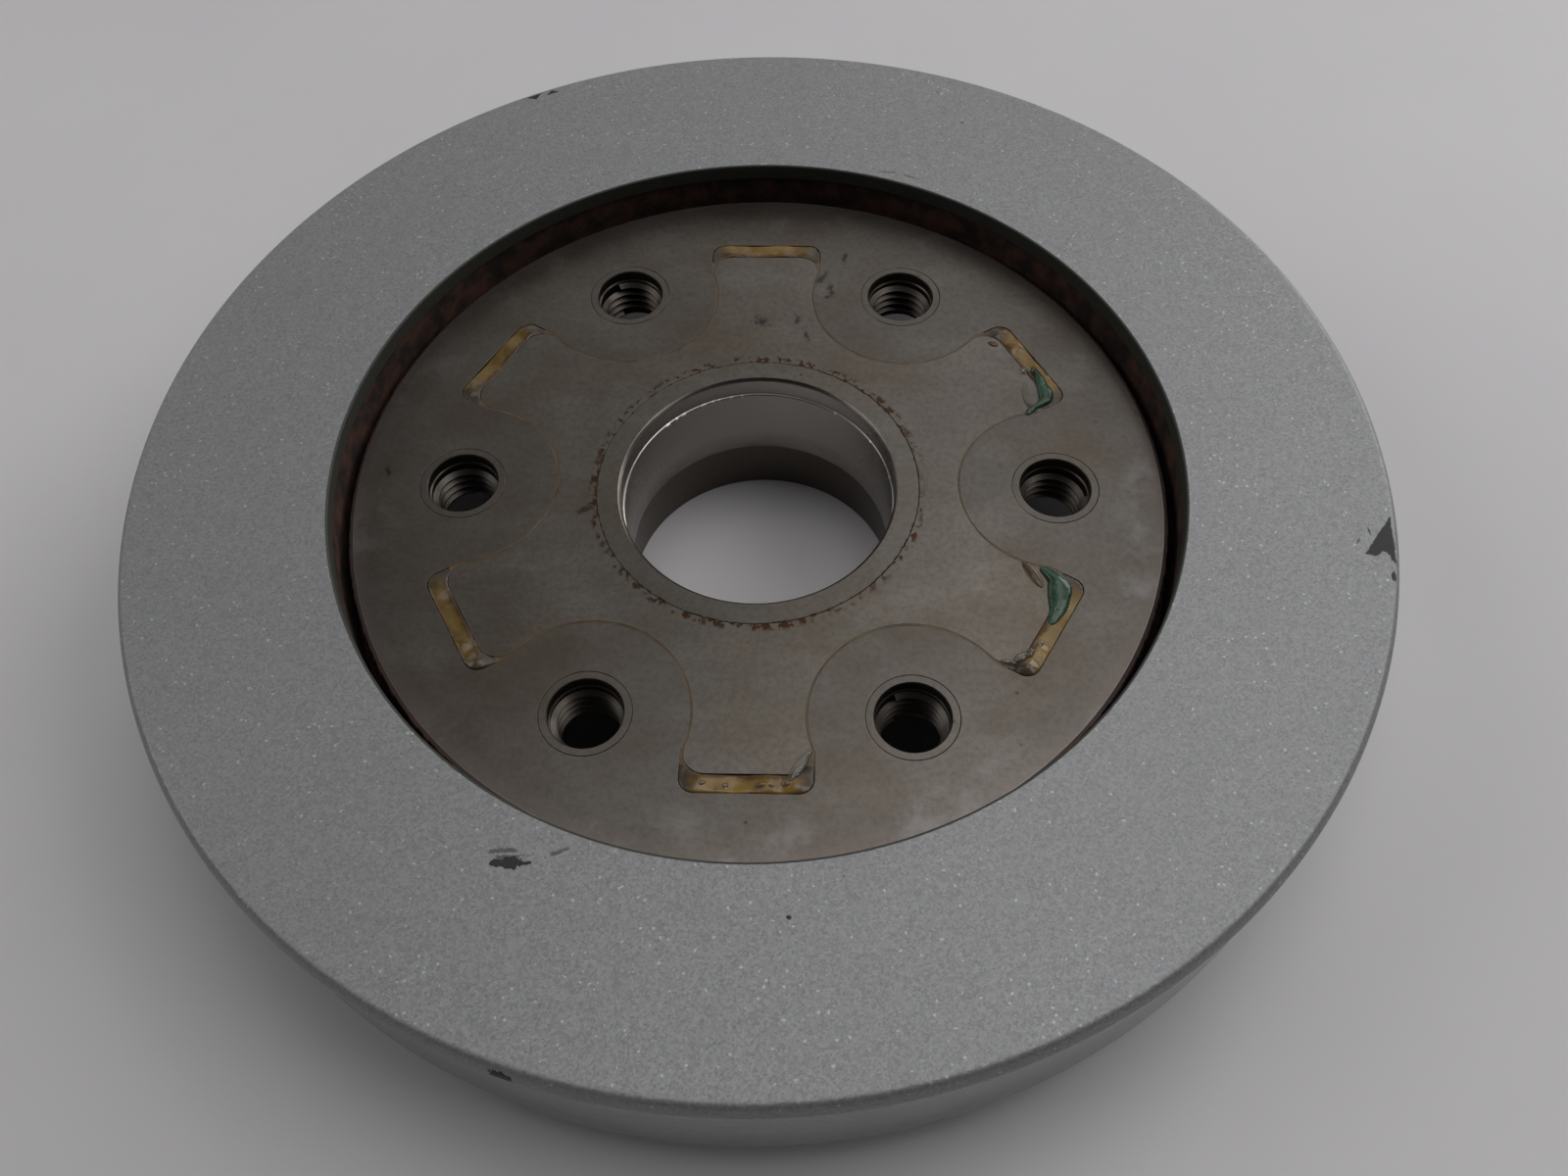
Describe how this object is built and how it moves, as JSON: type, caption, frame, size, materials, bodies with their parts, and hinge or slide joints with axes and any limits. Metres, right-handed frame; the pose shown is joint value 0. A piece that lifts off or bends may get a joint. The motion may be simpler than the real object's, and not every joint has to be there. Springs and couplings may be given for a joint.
{
  "type": "brake disc rotor",
  "caption": "Round brake disc rotor: coated friction ring on a closed drum-like rim, star-shaped hub bonded into a round carrier with threaded inserts, and a sleeved bore.",
  "frame": {"origin": "on the disc's axis at the underside of the hub boss, the level that the rotor stands on", "axes": "+Z along the disc's axis, out of the coated friction face; +X through the centre of thread_insert_1, with the hub's arms half way between the holes"},
  "size_m": [0.1826, 0.1826, 0.034],
  "materials": {
    "friction_paint": "silver-grey metallic coating with coarse sparkle and fine grain, satin, chipped to black at a few places on the edge",
    "rim_steel": "plain turned steel, semi-polished on the outside, rusty on the recess wall",
    "carrier_steel": "machined flat, warm grey with faint smears and stains",
    "hub_steel": "machined flat with the carrier, warm grey with small marks",
    "sleeve_steel": "fine turned bore, smooth, dull grey with darker rings",
    "insert_steel": "machined flush, bright thread flanks",
    "amber_resin": "glossy cured resin, amber brown",
    "green_sealant": "glossy dark green sealant, smeared thin at its edges"
  },
  "bodies": {
    "root": {"friction_face": "friction_paint", "rim_body": "rim_steel", "carrier_plate": "carrier_steel", "star_hub": "hub_steel", "bore_sleeve": "sleeve_steel", "thread_insert_1": "insert_steel", "thread_insert_2": "insert_steel", "thread_insert_3": "insert_steel", "thread_insert_4": "insert_steel", "thread_insert_5": "insert_steel", "thread_insert_6": "insert_steel", "resin_bead_1": "amber_resin", "resin_bead_2": "amber_resin", "resin_bead_3": "amber_resin", "resin_bead_4": "amber_resin", "resin_bead_5": "amber_resin", "resin_bead_6": "amber_resin", "sealant_dab_1": "green_sealant", "sealant_dab_2": "green_sealant"}
  },
  "joints": []
}
